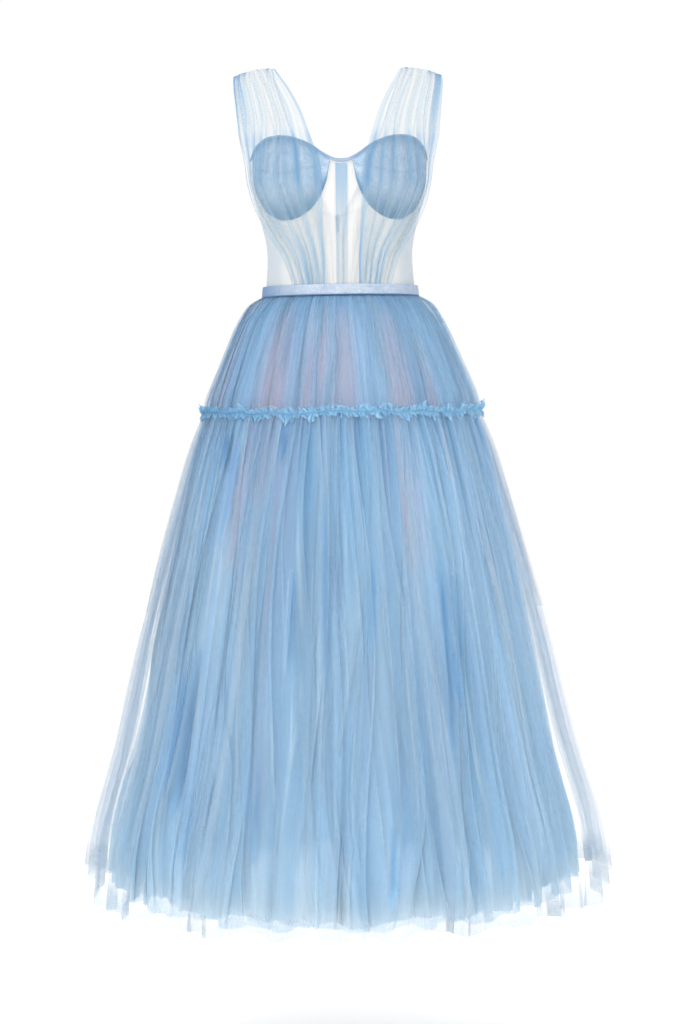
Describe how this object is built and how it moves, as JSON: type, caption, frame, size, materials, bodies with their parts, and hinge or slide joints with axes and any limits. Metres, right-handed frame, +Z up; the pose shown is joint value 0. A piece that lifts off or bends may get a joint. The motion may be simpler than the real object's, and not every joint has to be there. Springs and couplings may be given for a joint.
{
  "type": "cocktail dress",
  "caption": "Ankle-length tulle dress with a sheer corset bodice, gathered straps, a narrow belt and a full tiered skirt with a ruffle, worn form.",
  "frame": {"origin": "midway between the two shoulder straps, on the centre plane, at the height of the strap crests, where the wearer's shoulders hold the dress", "axes": "+Z up, -Y towards the front of the dress, +X to the right as seen from the front"},
  "size_m": [0.8393, 0.8211, 1.3053],
  "materials": {
    "blue_tulle": "soft sheer blue tulle, matt",
    "pale_tulle": "soft sheer pale blue tulle, matt",
    "sheer_mesh": "sheer white mesh, matt",
    "glitter_cloth": "blue cloth with fine silver glitter",
    "nude_lining": "smooth nude lining, slight sheen",
    "zip_tape": "woven tape, matt",
    "zip_metal": "pale blue enamel, satin"
  },
  "bodies": {
    "dress": {"base_front_left": "sheer_mesh", "base_front_right": "sheer_mesh", "base_back_left": "sheer_mesh", "base_back_right": "sheer_mesh", "cup_left": "glitter_cloth", "cup_right": "glitter_cloth", "neck_binding": "glitter_cloth", "centre_strip": "pale_tulle", "overlay_front_left": "pale_tulle", "overlay_front_right": "pale_tulle", "overlay_back_left": "pale_tulle", "overlay_back_right": "pale_tulle", "belt": "glitter_cloth", "upper_tier_front": "blue_tulle", "upper_tier_back_left": "blue_tulle", "upper_tier_back_right": "blue_tulle", "ruffle_front": "blue_tulle", "ruffle_back": "blue_tulle", "lower_tier_front": "blue_tulle", "lower_tier_back": "blue_tulle", "underskirt_front": "blue_tulle", "underskirt_back": "blue_tulle", "lining_front": "nude_lining", "lining_back": "nude_lining", "zip": "zip_tape", "zip_slider": "zip_metal"},
    "pull_tab": {"pull_tab": "zip_metal"}
  },
  "joints": [
    {"name": "pull_tab_hinge", "type": "hinge", "parent": "dress", "child": "pull_tab", "pos_m": [0, 0.09501, -0.234], "axis": [1, 0, 0], "range_deg": [0, 150]}
  ]
}
